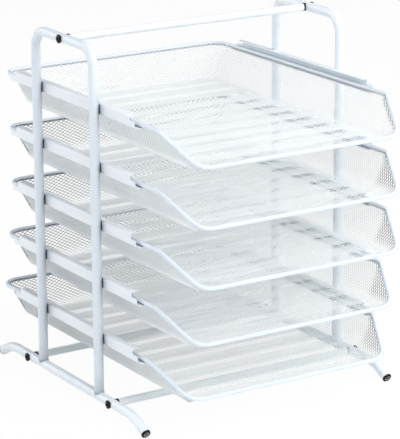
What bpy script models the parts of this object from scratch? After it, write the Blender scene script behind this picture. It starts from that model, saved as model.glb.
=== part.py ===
"""Desk organizer with five mesh letter trays that slide in a frame of steel tube.

Two side frames, each an inverted U of tube standing on a foot tube, are held apart by three
crossbars. Channel rails on the inner sides of the posts carry the wire rims of the trays.
The front of the organizer faces -Y, its left side frame is at -X, and the desk is at Z = 0.
"""

import math

import bmesh
import bpy
from mathutils import Matrix, Vector

MM = 0.001

# Gap kept between two pieces that touch
CLEARANCE = 0.3 * MM

# Side frames: the distances are between tube axes
FRAME_WIDTH = 297 * MM
POST_SPACING = 118 * MM
TUBE_DIAMETER = 10 * MM
TUBE_WALL = 1 * MM
TOP_ABOVE_TOP_RAIL = 61.5 * MM
TOP_BEND_RADIUS = 20 * MM

# Foot tubes: straight in the middle, both ends bent down to the desk
FOOT_STRAIGHT = 228 * MM
FOOT_BEND_RADIUS = 60 * MM
FOOT_BEND_ANGLE = math.radians(27)
FOOT_END_LENGTH = 10.35 * MM

# Plugs in the foot tube ends, each with a small flat worn on the side that meets the desk
PLUG_DIAMETER = 10 * MM
PLUG_HEAD = 2.6 * MM
PLUG_DOME = 1.2 * MM
PLUG_SPIGOT = 8 * MM
PLUG_FIT = 0.5 * MM
PLUG_FLAT_DEPTH = 0.6 * MM

# Crossbars, their saddle collars and the screws that hold them
CROSSBAR_DIAMETER = 8 * MM
LOW_BAR_FROM_POST = 27 * MM
COLLAR_DIAMETER = 8.4 * MM
COLLAR_LENGTH = 1.2 * MM
SCREW_DIAMETER = 4 * MM
SCREW_HEAD_DIAMETER = 9 * MM
SCREW_HEAD_HEIGHT = 2.2 * MM
SCREW_HEAD_EDGE = 0.7 * MM
SCREW_GRIP = 12 * MM
SCREW_HOLE_SPARE = 2 * MM

# Rails: channels of bent sheet, stepped down at both ends
TIER_COUNT = 5
TIER_PITCH = 60 * MM
LOW_RAIL_ABOVE_FOOT = 60.5 * MM
RAIL_SHEET = 1 * MM
RAIL_HEIGHT = 12 * MM
RAIL_TOP_FLANGE = 7 * MM
RAIL_BOTTOM_FLANGE = 9 * MM
RAIL_FRONT = 127 * MM
RAIL_REAR = 129 * MM
RAIL_FRONT_SETBACK = 10 * MM
RAIL_REAR_SETBACK = 12 * MM
RAIL_TAB_HEIGHT = 6.5 * MM
RAIL_LIP_REACH = 5 * MM

# Tray rims: one wire loop, measured along the wire's axis, with play at each side between the rails
WIRE_DIAMETER = 4.5 * MM
RIM_SIDE_PLAY = 3.45 * MM
RIM_LENGTH = 314.5 * MM
LIP_TAPER = 19 * MM
FRONT_RUN = 46.5 * MM
FRONT_DROP = 30.5 * MM
REAR_CORNER_RADIUS = 18 * MM
FRONT_BEND_RADIUS = 15 * MM
LIP_CORNER_RADIUS = 20 * MM

# Tray baskets: pressed sheet inside the rim
BASKET_SHEET = 0.8 * MM
BASKET_DEPTH = 35 * MM
SIDE_FLARE = 20 * MM
REAR_FLARE = 9 * MM
FLOOR_EDGE_ROUNDING = 5 * MM
FRONT_TURN_UP = 8 * MM
RIB_PITCH = 32 * MM
RIB_WIDTH = 16 * MM
RIB_TOP_WIDTH = 8 * MM
RIB_HEIGHT = 2 * MM
RIB_END_SLOPE = 6 * MM

# Openings in the baskets: a plain grid that stands for their fine mesh
OPENING_PITCH = 50 * MM
OPENING_BAR = 5 * MM

# How far each tray, from the top one down, is pulled out from its rear stop
REAR_STOP_GAP = 0.5 * MM
TRAY_PULLED_OUT = (21.5 * MM, 23.5 * MM, 24.5 * MM, 15 * MM, 3 * MM)

# Facets of the round pieces
ARC_STEP = math.radians(18)
TUBE_BEVEL_RESOLUTION = 4
WIRE_BEVEL_RESOLUTION = 2
TURNED_SIDES = 16
DOME_STEPS = 3
BASKET_CORNER_STEPS = 4
FLOOR_EDGE_STEPS = 3
ROUND_PROFILE = 0.5
SMOOTH_ANGLE = math.radians(40)
WELD_DISTANCE = 0.001 * MM

# Lengths that follow from the driving dimensions
TUBE_RADIUS = TUBE_DIAMETER / 2
WIRE_RADIUS = WIRE_DIAMETER / 2
HALF_WIDTH = FRAME_WIDTH / 2
HALF_SPACING = POST_SPACING / 2
PLUG_RADIUS = PLUG_DIAMETER / 2
SCREW_HOLE_RADIUS = SCREW_DIAMETER / 2 + CLEARANCE
PLUG_EDGE = PLUG_HEAD - PLUG_DOME + CLEARANCE
FOOT_DROP = (FOOT_BEND_RADIUS * (1 - math.cos(FOOT_BEND_ANGLE))
             + FOOT_END_LENGTH * math.sin(FOOT_BEND_ANGLE))
FOOT_REACH = (FOOT_STRAIGHT / 2 + FOOT_BEND_RADIUS * math.sin(FOOT_BEND_ANGLE)
              + FOOT_END_LENGTH * math.cos(FOOT_BEND_ANGLE))
PLUG_DEPTH = (PLUG_EDGE * math.sin(FOOT_BEND_ANGLE)
              + math.hypot(PLUG_DOME * math.sin(FOOT_BEND_ANGLE), PLUG_RADIUS * math.cos(FOOT_BEND_ANGLE)))
FOOT_HEIGHT = FOOT_DROP + PLUG_DEPTH - PLUG_FLAT_DEPTH
TOP_RAIL_HEIGHT = FOOT_HEIGHT + LOW_RAIL_ABOVE_FOOT + (TIER_COUNT - 1) * TIER_PITCH
TOP_HEIGHT = TOP_RAIL_HEIGHT + TOP_ABOVE_TOP_RAIL
LOW_BAR_Y = HALF_SPACING + LOW_BAR_FROM_POST
CROSSBAR_LENGTH = FRAME_WIDTH - 2 * (TUBE_RADIUS + COLLAR_LENGTH + CLEARANCE)
RAIL_FACE = HALF_WIDTH - TUBE_RADIUS - CLEARANCE
RIM_ABOVE_RAIL = RAIL_SHEET + CLEARANCE + WIRE_RADIUS - RAIL_HEIGHT / 2
RIM_WIDTH = 2 * (RAIL_FACE - RAIL_SHEET - RIM_SIDE_PLAY - WIRE_RADIUS)
LIP_WIDTH = RIM_WIDTH - 2 * LIP_TAPER
FLOOR_WIDTH = RIM_WIDTH - 2 * SIDE_FLARE
SHEET_INSET = WIRE_RADIUS + CLEARANCE + BASKET_SHEET / 2
SLANT = Vector((-LIP_TAPER, -FRONT_RUN, -FRONT_DROP))
BEND_TANGENT = FRONT_BEND_RADIUS * math.tan(SLANT.angle(Vector((0, -1, 0))) / 2)
BEND_AT_STOP = -(RAIL_FRONT + RAIL_LIP_REACH + REAR_STOP_GAP + BEND_TANGENT)
FRONT_REACH = max(TRAY_PULLED_OUT) - BEND_AT_STOP + FRONT_RUN + WIRE_RADIUS
REAR_REACH = max(RIM_LENGTH + BEND_AT_STOP - min(TRAY_PULLED_OUT) + WIRE_RADIUS,
                 FOOT_REACH + PLUG_HEAD)

# The frame stands behind the middle of the whole, so that the origin is under that middle
FRAME_Y = (FRONT_REACH - REAR_REACH) / 2


def new_collection(name):
    """Add a collection to the scene."""
    collection = bpy.data.collections.new(name)
    bpy.context.scene.collection.children.link(collection)
    return collection


def new_material(name, colour, roughness, metallic=0.0):
    """Make a Principled material of one colour."""
    material = bpy.data.materials.new(name)
    material.use_nodes = True
    shader = material.node_tree.nodes["Principled BSDF"]
    shader.inputs["Base Color"].default_value = (*colour, 1.0)
    shader.inputs["Roughness"].default_value = roughness
    shader.inputs["Metallic"].default_value = metallic
    return material


def new_empty(name, parent, location):
    """Add an empty that carries other pieces."""
    empty = bpy.data.objects.new(name, None)
    PARTS.objects.link(empty)
    empty.parent = parent
    empty.location = location
    return empty


def add_part(name, mesh, material, parent, location=(0, 0, 0), turn=0.0):
    """Place one piece under its parent, turned about the vertical."""
    part = bpy.data.objects.new(name, mesh)
    PARTS.objects.link(part)
    part.parent = parent
    part.location = location
    part.rotation_euler.z = turn
    if not mesh.materials:
        mesh.materials.append(material)
    mesh.shade_smooth()
    mesh.set_sharp_from_angle(angle=SMOOTH_ANGLE)
    return part


def add_cutter(name, mesh):
    """Add a cutter, which isn't a piece of the organizer."""
    cutter = bpy.data.objects.new(name, mesh)
    CUTTERS.objects.link(cutter)
    cutter.hide_render = True
    cutter.display_type = "WIRE"
    return cutter


def applied_mesh(source, name):
    """Give the evaluated mesh of an object, welded and facing outwards, and remove the object."""
    bpy.context.view_layer.update()
    depsgraph = bpy.context.evaluated_depsgraph_get()
    mesh = bpy.data.meshes.new_from_object(source.evaluated_get(depsgraph), depsgraph=depsgraph)
    mesh.name = name
    mesh.transform(source.matrix_world)
    bpy.data.objects.remove(source)
    shape = bmesh.new()
    shape.from_mesh(mesh)
    bmesh.ops.remove_doubles(shape, verts=shape.verts, dist=WELD_DISTANCE)
    bmesh.ops.recalc_face_normals(shape, faces=shape.faces)
    shape.to_mesh(mesh)
    shape.free()
    return mesh


def carved_mesh(name, mesh, cutters):
    """Cut a list of cutters out of a mesh."""
    blank = bpy.data.objects.new(name, mesh)
    CUTTERS.objects.link(blank)
    for cutter in cutters:
        modifier = blank.modifiers.new(cutter.name, "BOOLEAN")
        modifier.operation = "DIFFERENCE"
        modifier.solver = "EXACT"
        modifier.object = cutter
    return applied_mesh(blank, name)


def box_mesh(name, low, high):
    """Make a box between two corners."""
    low = Vector(low)
    high = Vector(high)
    place = Matrix.LocRotScale((low + high) / 2, None, high - low)
    shape = bmesh.new()
    bmesh.ops.create_cube(shape, size=1, matrix=place)
    mesh = bpy.data.meshes.new(name)
    shape.to_mesh(mesh)
    shape.free()
    return mesh


def rod_mesh(name, start, end, radius, sides=TURNED_SIDES):
    """Make a straight round rod between two points."""
    start = Vector(start)
    end = Vector(end)
    along = end - start
    place = Matrix.Translation((start + end) / 2) @ along.to_track_quat("Z", "Y").to_matrix().to_4x4()
    shape = bmesh.new()
    bmesh.ops.create_cone(shape, cap_ends=True, segments=sides, radius1=radius, radius2=radius,
                          depth=along.length, matrix=place)
    mesh = bpy.data.meshes.new(name)
    shape.to_mesh(mesh)
    shape.free()
    return mesh


def turned_mesh(name, profile):
    """Turn a profile of (radius, height) points, from top to bottom, about the vertical axis."""
    shape = bmesh.new()
    points = [shape.verts.new((radius, 0, height)) for radius, height in profile]
    for first, second in zip(points, points[1:]):
        shape.edges.new((first, second))
    mesh = bpy.data.meshes.new(name)
    shape.to_mesh(mesh)
    shape.free()
    blank = bpy.data.objects.new(name, mesh)
    CUTTERS.objects.link(blank)
    screw = blank.modifiers.new("Turn", "SCREW")
    screw.steps = TURNED_SIDES
    screw.render_steps = TURNED_SIDES
    screw.use_merge_vertices = True
    screw.merge_threshold = WELD_DISTANCE
    return applied_mesh(blank, name)


def dome_profile(radius, base, rise):
    """Points of a low dome's outline, from its crown down to its edge."""
    turns = [math.pi / 2 * (1 - step / DOME_STEPS) for step in range(DOME_STEPS + 1)]
    return [(radius * abs(math.cos(turn)) if step else 0.0, base + rise * math.sin(turn))
            for step, turn in enumerate(turns)]


def rounded_path(corners, closed=False):
    """Round the corners of a path.

    Each corner is a point and a bend radius; a radius of 0 leaves the point as it is.
    """
    path = []
    count = len(corners)
    for index, (corner, radius) in enumerate(corners):
        corner = Vector(corner)
        if not radius or (not closed and index in (0, count - 1)):
            path.append(corner)
            continue
        back = (Vector(corners[index - 1][0]) - corner).normalized()
        ahead = (Vector(corners[(index + 1) % count][0]) - corner).normalized()
        turn = math.pi - back.angle(ahead)
        axis = ahead.cross(back)
        centre = corner + (back + ahead).normalized() * radius / math.cos(turn / 2)
        spoke = corner + back * radius * math.tan(turn / 2) - centre
        steps = max(2, math.ceil(turn / ARC_STEP))
        for step in range(steps + 1):
            path.append(centre + Matrix.Rotation(turn * step / steps, 3, axis) @ spoke)
    return path


def swept_mesh(name, path, radius, resolution, closed=False):
    """Sweep a round section along a path."""
    curve = bpy.data.curves.new(name, "CURVE")
    curve.dimensions = "3D"
    curve.bevel_depth = radius
    curve.bevel_resolution = resolution
    curve.use_fill_caps = not closed
    spline = curve.splines.new("POLY")
    spline.points.add(len(path) - 1)
    for point, place in zip(spline.points, path):
        point.co = (*place, 1)
    spline.use_cyclic_u = closed
    blank = bpy.data.objects.new(name, curve)
    CUTTERS.objects.link(blank)
    return applied_mesh(blank, name)


def hollow_tube_mesh(name, path, cutters):
    """Sweep the frame's tube along a path, open at both ends, and cut it."""
    first = path[0] + (path[0] - path[1]).normalized() * TUBE_WALL
    last = path[-1] + (path[-1] - path[-2]).normalized() * TUBE_WALL
    bore_path = [first, *path[1:-1], last]
    bore = swept_mesh(name + "_bore", bore_path, TUBE_RADIUS - TUBE_WALL, TUBE_BEVEL_RESOLUTION)
    outside = swept_mesh(name, path, TUBE_RADIUS, TUBE_BEVEL_RESOLUTION)
    return carved_mesh(name, outside, [add_cutter(name + "_bore", bore), *cutters])


def screw_hole(name, y, z):
    """Drill for a screw that runs left to right through a tube."""
    reach = TUBE_DIAMETER
    return add_cutter(name, rod_mesh(name, (-reach, y, z), (reach, y, z), SCREW_HOLE_RADIUS))


def side_frame_mesh():
    """Inverted U of tube, coped at the bottom to sit on the foot tube."""
    path = rounded_path([
        ((0, -HALF_SPACING, FOOT_HEIGHT), 0),
        ((0, -HALF_SPACING, TOP_HEIGHT), TOP_BEND_RADIUS),
        ((0, HALF_SPACING, TOP_HEIGHT), TOP_BEND_RADIUS),
        ((0, HALF_SPACING, FOOT_HEIGHT), 0),
    ])
    cope = rod_mesh("foot_cope", (0, -FOOT_STRAIGHT / 2, FOOT_HEIGHT), (0, FOOT_STRAIGHT / 2, FOOT_HEIGHT),
                    TUBE_RADIUS + CLEARANCE)
    cutters = [add_cutter("foot_cope", cope), screw_hole("top_screw_hole", 0, TOP_HEIGHT)]
    return hollow_tube_mesh("side_frame", path, cutters)


def foot_tube_mesh():
    """Foot tube with both ends bent down."""
    tangent = FOOT_BEND_RADIUS * math.tan(FOOT_BEND_ANGLE / 2)
    bend_y = FOOT_STRAIGHT / 2 + tangent
    path = rounded_path([
        ((0, -FOOT_REACH, FOOT_HEIGHT - FOOT_DROP), 0),
        ((0, -bend_y, FOOT_HEIGHT), FOOT_BEND_RADIUS),
        ((0, bend_y, FOOT_HEIGHT), FOOT_BEND_RADIUS),
        ((0, FOOT_REACH, FOOT_HEIGHT - FOOT_DROP), 0),
    ])
    cutters = [screw_hole("front_screw_hole", -LOW_BAR_Y, FOOT_HEIGHT),
               screw_hole("rear_screw_hole", LOW_BAR_Y, FOOT_HEIGHT)]
    return hollow_tube_mesh("foot_tube", path, cutters)


def foot_plug_mesh():
    """Domed plug for a front foot tube end, with its origin in the middle of that end."""
    spigot_radius = TUBE_RADIUS - TUBE_WALL - PLUG_FIT
    profile = dome_profile(PLUG_RADIUS, PLUG_EDGE, PLUG_DOME)
    profile += [(PLUG_RADIUS, CLEARANCE), (spigot_radius, CLEARANCE), (spigot_radius, -PLUG_SPIGOT),
                (0, -PLUG_SPIGOT)]
    mesh = turned_mesh("foot_plug", profile)
    mesh.transform(Matrix.Rotation(math.pi / 2 + FOOT_BEND_ANGLE, 4, "X"))
    desk = FOOT_DROP - FOOT_HEIGHT
    size = PLUG_DIAMETER + PLUG_HEAD
    ground = box_mesh("desk_level", (-size, -size, desk - size), (size, size, desk))
    return carved_mesh("foot_plug", mesh, [add_cutter("desk_level", ground)])


def crossbar_mesh():
    """Round crossbar, tapped at both ends, with its origin at its middle."""
    half = CROSSBAR_LENGTH / 2
    depth = SCREW_GRIP + SCREW_HOLE_SPARE
    bar = rod_mesh("crossbar", (-half, 0, 0), (half, 0, 0), CROSSBAR_DIAMETER / 2)
    holes = []
    for side, label in ((-1, "left"), (1, "right")):
        name = label + "_tapped_hole"
        inner = (side * (half - depth), 0, 0)
        outer = (side * (half + depth), 0, 0)
        holes.append(add_cutter(name, rod_mesh(name, inner, outer, SCREW_HOLE_RADIUS)))
    return carved_mesh("crossbar", bar, holes)


def collar_mesh():
    """Saddle collar for the left tube, with its origin on the tube's axis and its bar at +X."""
    end = TUBE_RADIUS + COLLAR_LENGTH
    collar = rod_mesh("collar", (0, 0, 0), (end, 0, 0), COLLAR_DIAMETER / 2)
    hole = rod_mesh("collar_hole", (-end, 0, 0), (2 * end, 0, 0), SCREW_HOLE_RADIUS)
    saddle = rod_mesh("collar_saddle", (0, -end, 0), (0, end, 0), TUBE_RADIUS + CLEARANCE)
    cutters = [add_cutter("collar_saddle", saddle), add_cutter("collar_hole", hole)]
    return carved_mesh("collar", collar, cutters)


def screw_mesh():
    """Domed screw for the left tube, with its origin on the tube's axis and its head at -X."""
    seat = TUBE_RADIUS + CLEARANCE
    tip = TUBE_RADIUS + COLLAR_LENGTH + SCREW_GRIP
    dome = SCREW_HEAD_HEIGHT - SCREW_HEAD_EDGE
    profile = dome_profile(SCREW_HEAD_DIAMETER / 2, seat + SCREW_HEAD_EDGE, dome)
    profile += [(SCREW_HEAD_DIAMETER / 2, seat), (SCREW_DIAMETER / 2, seat), (SCREW_DIAMETER / 2, -tip),
                (0, -tip)]
    mesh = turned_mesh("screw", profile)
    mesh.transform(Matrix.Rotation(-math.pi / 2, 4, "Y"))
    return mesh


def rail_mesh(label, inward):
    """Channel rail with its origin at the height of its middle; inward is +1 on the left side."""
    half = RAIL_HEIGHT / 2
    outline = [(0, half), (RAIL_TOP_FLANGE, half), (RAIL_TOP_FLANGE, half - RAIL_SHEET),
               (RAIL_SHEET, half - RAIL_SHEET), (RAIL_SHEET, RAIL_SHEET - half),
               (RAIL_BOTTOM_FLANGE, RAIL_SHEET - half), (RAIL_BOTTOM_FLANGE, -half), (0, -half)]
    front = RAIL_FRONT + RAIL_LIP_REACH
    curve = bpy.data.curves.new(label, "CURVE")
    curve.dimensions = "2D"
    curve.fill_mode = "BOTH"
    curve.extrude = (front + RAIL_REAR) / 2
    spline = curve.splines.new("POLY")
    spline.points.add(len(outline) - 1)
    for point, (across, up) in zip(spline.points, outline):
        point.co = (inward * across, up, 0, 1)
    spline.use_cyclic_u = True
    blank = bpy.data.objects.new(label, curve)
    CUTTERS.objects.link(blank)
    blank.rotation_euler.x = math.pi / 2
    blank.location.y = (RAIL_REAR - front) / 2
    channel = applied_mesh(blank, label)
    wide = RAIL_BOTTOM_FLANGE + RAIL_HEIGHT
    tab = RAIL_TAB_HEIGHT - half
    spans = {
        "_front_step": (-front - wide, RAIL_FRONT_SETBACK - RAIL_FRONT, tab),
        "_front_lip": (-front - wide, -RAIL_FRONT, RAIL_SHEET - half),
        "_rear_step": (RAIL_REAR - RAIL_REAR_SETBACK, RAIL_REAR + wide, tab),
    }
    cutters = []
    for place, (low_y, high_y, base) in spans.items():
        name = label + place
        cutters.append(add_cutter(name, box_mesh(name, (-wide, low_y, base), (wide, high_y, RAIL_HEIGHT))))
    return carved_mesh(label, channel, cutters)


def rim_mesh():
    """Wire rim with its origin on the rim's axis, between its two front bends."""
    side = RIM_WIDTH / 2
    lip = LIP_WIDTH / 2
    path = rounded_path([
        ((-side, RIM_LENGTH, 0), REAR_CORNER_RADIUS),
        ((-side, 0, 0), FRONT_BEND_RADIUS),
        ((-lip, -FRONT_RUN, -FRONT_DROP), LIP_CORNER_RADIUS),
        ((lip, -FRONT_RUN, -FRONT_DROP), LIP_CORNER_RADIUS),
        ((side, 0, 0), FRONT_BEND_RADIUS),
        ((side, RIM_LENGTH, 0), REAR_CORNER_RADIUS),
    ], closed=True)
    return swept_mesh("tray_rim", path, WIRE_RADIUS, WIRE_BEVEL_RESOLUTION, closed=True)


def basket_corner(side, rear, top):
    """Place one corner of the basket's sheet, inside the rim wire."""
    if top:
        x = RIM_WIDTH / 2 - SHEET_INSET
        y = RIM_LENGTH - SHEET_INSET if rear else SHEET_INSET
        return Vector((side * x, y, 0))
    y = RIM_LENGTH - SHEET_INSET - REAR_FLARE if rear else SHEET_INSET - FRONT_RUN
    return Vector((side * FLOOR_WIDTH / 2, y, -BASKET_DEPTH))


def turn_up_front(shape):
    """Turn the front edge of the basket's floor up to the lip wire."""
    front = min(corner.co.y for corner in shape.verts)
    bmesh.ops.bisect_plane(shape, geom=[*shape.verts, *shape.edges, *shape.faces],
                           plane_co=(0, front + FRONT_TURN_UP, 0), plane_no=(0, 1, 0))
    for corner in shape.verts:
        if corner.is_boundary and corner.co.y < front + FRONT_TURN_UP:
            corner.co.z = max(corner.co.z, -FRONT_DROP - WIRE_RADIUS / 2)


def press_ribs(shape):
    """Press ribs across the flat of the basket's floor."""
    def flat_floor():
        """Faces of the floor, with their edges and corners."""
        faces = [face for face in shape.faces
                 if all(abs(corner.co.z + BASKET_DEPTH) < CLEARANCE for corner in face.verts)]
        edges = {edge for face in faces for edge in face.edges}
        corners = {corner for face in faces for corner in face.verts}
        return [*faces, *edges, *corners], corners

    corners = flat_floor()[1]
    rib_half = max(corner.co.x for corner in corners) - RIB_END_SLOPE
    front = min(corner.co.y for corner in corners)
    length = max(corner.co.y for corner in corners) - front
    count = int((length - RIB_WIDTH) / RIB_PITCH) + 1
    first = front + (length - (count - 1) * RIB_PITCH) / 2
    middles = [first + index * RIB_PITCH for index in range(count)]
    cuts = [(0, middle + share, 0) for middle in middles
            for share in (-RIB_WIDTH / 2, -RIB_TOP_WIDTH / 2, RIB_TOP_WIDTH / 2, RIB_WIDTH / 2)]
    for place in cuts:
        bmesh.ops.bisect_plane(shape, geom=flat_floor()[0], plane_co=place, plane_no=(0, 1, 0))
    for side in (-1, 1):
        bmesh.ops.bisect_plane(shape, geom=flat_floor()[0], plane_co=(side * rib_half, 0, 0),
                               plane_no=(1, 0, 0))
    for corner in flat_floor()[1]:
        across = min(abs(corner.co.y - middle) for middle in middles)
        if abs(corner.co.x) < rib_half + CLEARANCE and across < RIB_TOP_WIDTH / 2 + CLEARANCE:
            corner.co.z += RIB_HEIGHT


def panel_cells(shape, panel, axis):
    """Split one flat panel of the basket along an axis into cells as long as the openings' pitch."""
    sides = [edge for edge in panel.edges
             if abs(edge.verts[0].co[axis] - edge.verts[1].co[axis]) > OPENING_PITCH]
    low = max(min(corner.co[axis] for corner in edge.verts) for edge in sides)
    high = min(max(corner.co[axis] for corner in edge.verts) for edge in sides)
    across = Vector((axis == 0, axis == 1, 0))
    count = max(1, round((high - low) / OPENING_PITCH))
    geometry = [panel, *panel.edges, *panel.verts]
    for step in range(count + 1):
        place = low + (high - low) * step / count
        geometry = bmesh.ops.bisect_plane(shape, geom=geometry, plane_co=across * place, plane_no=across,
                                          dist=WELD_DISTANCE)["geom"]
    faces = [item for item in geometry if isinstance(item, bmesh.types.BMFace)]
    return [face for face in faces if low < face.calc_center_median()[axis] < high]


def open_panels(shape):
    """Cut the grid of openings into the flats between the ribs and into the basket's walls."""
    shape.normal_update()
    panels = []
    for face in shape.faces:
        spans = [[corner.co[axis] for corner in face.verts] for axis in range(3)]
        lengths = [max(span) - min(span) for span in spans]
        flat = max(spans[2]) < CLEARANCE - BASKET_DEPTH and len(face.verts) == 4
        wall = max(spans[2]) > -CLEARANCE
        if (flat or wall) and max(lengths) > OPENING_PITCH:
            panels.append((face, lengths.index(max(lengths))))
    cells = [cell for panel, axis in panels for cell in panel_cells(shape, panel, axis)]
    bmesh.ops.inset_individual(shape, faces=cells, thickness=OPENING_BAR / 2, use_even_offset=True)
    bmesh.ops.delete(shape, geom=cells, context="FACES")


def basket_mesh():
    """Pressed basket with an open top and front, in the frame of its rim."""
    shape = bmesh.new()
    bmesh.ops.create_cube(shape, size=2)
    open_faces = [face for face in shape.faces
                  if all(corner.co.z > 0 for corner in face.verts)
                  or all(corner.co.y < 0 for corner in face.verts)]
    bmesh.ops.delete(shape, geom=open_faces, context="FACES")
    upright = [edge for edge in shape.edges
               if all(corner.co.y > 0 for corner in edge.verts)
               and edge.verts[0].co.z != edge.verts[1].co.z]
    for corner in shape.verts:
        corner.co = basket_corner(corner.co.x, corner.co.y > 0, corner.co.z > 0)
    bmesh.ops.bevel(shape, geom=upright, offset=REAR_CORNER_RADIUS - SHEET_INSET, offset_type="OFFSET",
                    segments=BASKET_CORNER_STEPS, profile=ROUND_PROFILE, affect="EDGES")
    floor_edges = [edge for edge in shape.edges if len(edge.link_faces) == 2
                   and all(abs(corner.co.z + BASKET_DEPTH) < CLEARANCE for corner in edge.verts)]
    bmesh.ops.bevel(shape, geom=floor_edges, offset=FLOOR_EDGE_ROUNDING, offset_type="OFFSET",
                    segments=FLOOR_EDGE_STEPS, profile=ROUND_PROFILE, affect="EDGES")
    turn_up_front(shape)
    press_ribs(shape)
    open_panels(shape)
    mesh = bpy.data.meshes.new("tray_basket")
    shape.to_mesh(mesh)
    shape.free()
    blank = bpy.data.objects.new("tray_basket", mesh)
    CUTTERS.objects.link(blank)
    sheet = blank.modifiers.new("Sheet", "SOLIDIFY")
    sheet.thickness = BASKET_SHEET
    sheet.offset = 0
    sheet.use_even_offset = True
    return applied_mesh(blank, "tray_basket")


def build_frame(root):
    """Place the side frames, foot tubes, plugs and crossbars with their fixings."""
    paint = new_material("white_powder_coat", (0.86, 0.89, 0.92), 0.4)
    plastic = new_material("black_plastic", (0.02, 0.02, 0.022), 0.45)
    steel = new_material("blackened_steel", (0.03, 0.03, 0.032), 0.4, 0.6)
    rubber = new_material("black_rubber", (0.015, 0.015, 0.016), 0.7)
    frame = side_frame_mesh()
    foot = foot_tube_mesh()
    plug = foot_plug_mesh()
    bar = crossbar_mesh()
    collar = collar_mesh()
    screw = screw_mesh()
    bars = {"top": (0, TOP_HEIGHT), "front": (-LOW_BAR_Y, FOOT_HEIGHT), "rear": (LOW_BAR_Y, FOOT_HEIGHT)}
    for place, (y, z) in bars.items():
        add_part(place + "_crossbar", bar, paint, root, (0, y, z))
    for side, x, turn in (("left", -HALF_WIDTH, 0.0), ("right", HALF_WIDTH, math.pi)):
        add_part(side + "_side_frame", frame, paint, root, (x, 0, 0))
        add_part(side + "_foot_tube", foot, paint, root, (x, 0, 0))
        for place, (y, z) in bars.items():
            add_part(f"{side}_{place}_collar", collar, plastic, root, (x, y, z), turn)
            add_part(f"{side}_{place}_screw", screw, steel, root, (x, y, z), turn)
        for place, y, plug_turn in (("front", -FOOT_REACH, 0.0), ("rear", FOOT_REACH, math.pi)):
            end = (x, y, FOOT_HEIGHT - FOOT_DROP)
            add_part(f"{side}_{place}_foot_plug", plug, rubber, root, end, plug_turn)


def build_tiers(root):
    """Place the rails, and on each pair of them a tray that slides along Y."""
    sheet_paint = new_material("white_coated_sheet", (0.85, 0.88, 0.91), 0.4)
    wire_paint = new_material("white_coated_wire", (0.88, 0.91, 0.93), 0.35)
    mesh_paint = new_material("white_coated_mesh", (0.84, 0.87, 0.89), 0.5)
    left_rail = rail_mesh("left_rail", 1)
    right_rail = rail_mesh("right_rail", -1)
    rim = rim_mesh()
    basket = basket_mesh()
    for tier in range(TIER_COUNT):
        number = tier + 1
        rail_height = TOP_RAIL_HEIGHT - tier * TIER_PITCH
        add_part(f"rail_{number}_left", left_rail, sheet_paint, root, (-RAIL_FACE, 0, rail_height))
        add_part(f"rail_{number}_right", right_rail, sheet_paint, root, (RAIL_FACE, 0, rail_height))
        bend_y = BEND_AT_STOP - TRAY_PULLED_OUT[tier]
        slide = new_empty(f"tray_{number}_slide", root, (0, bend_y, rail_height + RIM_ABOVE_RAIL))
        add_part(f"tray_{number}_rim", rim, wire_paint, slide)
        add_part(f"tray_{number}_basket", basket, mesh_paint, slide)


for old in list(bpy.data.objects):
    bpy.data.objects.remove(old)
PARTS = new_collection("mesh_desk_organizer")
CUTTERS = new_collection("organizer_cutters")
ROOT = new_empty("organizer_frame", None, (0, FRAME_Y, 0))
build_frame(ROOT)
build_tiers(ROOT)
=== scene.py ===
"""Looks of a desk organizer: expanded-mesh letter trays that slide in a white tube frame."""

import logging
import math
from collections.abc import Callable, Iterator
from contextlib import contextmanager
from dataclasses import dataclass, field, replace
from enum import Enum

import bmesh
import bpy
import numpy as np
from mathutils import Matrix, Vector


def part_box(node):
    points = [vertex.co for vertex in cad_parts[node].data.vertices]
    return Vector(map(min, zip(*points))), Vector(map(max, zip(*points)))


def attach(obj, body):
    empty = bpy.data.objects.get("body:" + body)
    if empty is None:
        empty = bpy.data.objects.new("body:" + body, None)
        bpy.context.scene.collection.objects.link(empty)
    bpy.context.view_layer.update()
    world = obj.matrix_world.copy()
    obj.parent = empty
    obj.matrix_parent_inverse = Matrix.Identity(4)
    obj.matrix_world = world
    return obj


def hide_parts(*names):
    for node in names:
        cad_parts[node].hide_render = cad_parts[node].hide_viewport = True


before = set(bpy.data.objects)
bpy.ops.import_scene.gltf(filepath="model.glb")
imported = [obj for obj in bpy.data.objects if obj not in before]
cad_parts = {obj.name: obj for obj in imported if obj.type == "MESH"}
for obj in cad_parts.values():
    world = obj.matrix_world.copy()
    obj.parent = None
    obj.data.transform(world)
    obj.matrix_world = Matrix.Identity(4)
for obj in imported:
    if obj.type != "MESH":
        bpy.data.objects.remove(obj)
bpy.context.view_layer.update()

Piece = bpy.types.Object
Tree = bpy.types.NodeTree
Socket = bpy.types.NodeSocket

MM = 0.001
# A length that is too short to matter
TINY = 0.001 * MM
TIERS = 5
LOG = logging.getLogger("organizer")


class Labelled(Enum):
    """Options whose names are words in the piece names."""

    @property
    def label(self) -> str:
        """Word for the option in a piece name."""
        return self.name.lower()


class Side(Labelled):
    """Sides of the organizer, as the sign of X."""

    LEFT = -1
    RIGHT = 1


class End(Labelled):
    """Ends of the organizer, as the sign of Y."""

    FRONT = -1
    REAR = 1


class Pick(Enum):
    """What a selection in edit mode is made of."""

    EDGES = "EDGE"
    FACES = "FACE"


class Shading(Enum):
    """Angle between faces, in degrees, up to which a piece is shaded smooth."""

    EDGED = 35
    DOMED = 40
    ROUND = 180


def linear_colour(code: str) -> tuple[float, float, float, float]:
    """Turn an sRGB hex colour into linear values.

    Args:
        code: Colour such as "#E9EFF5".

    Returns:
        Linear red, green and blue, with an alpha of 1.
    """
    values = [int(code[place:place + 2], 16) / 255 for place in (1, 3, 5)]
    red, green, blue = (value / 12.92 if value <= 0.04045 else ((value + 0.055) / 1.055) ** 2.4
                        for value in values)
    return red, green, blue, 1.0


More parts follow.
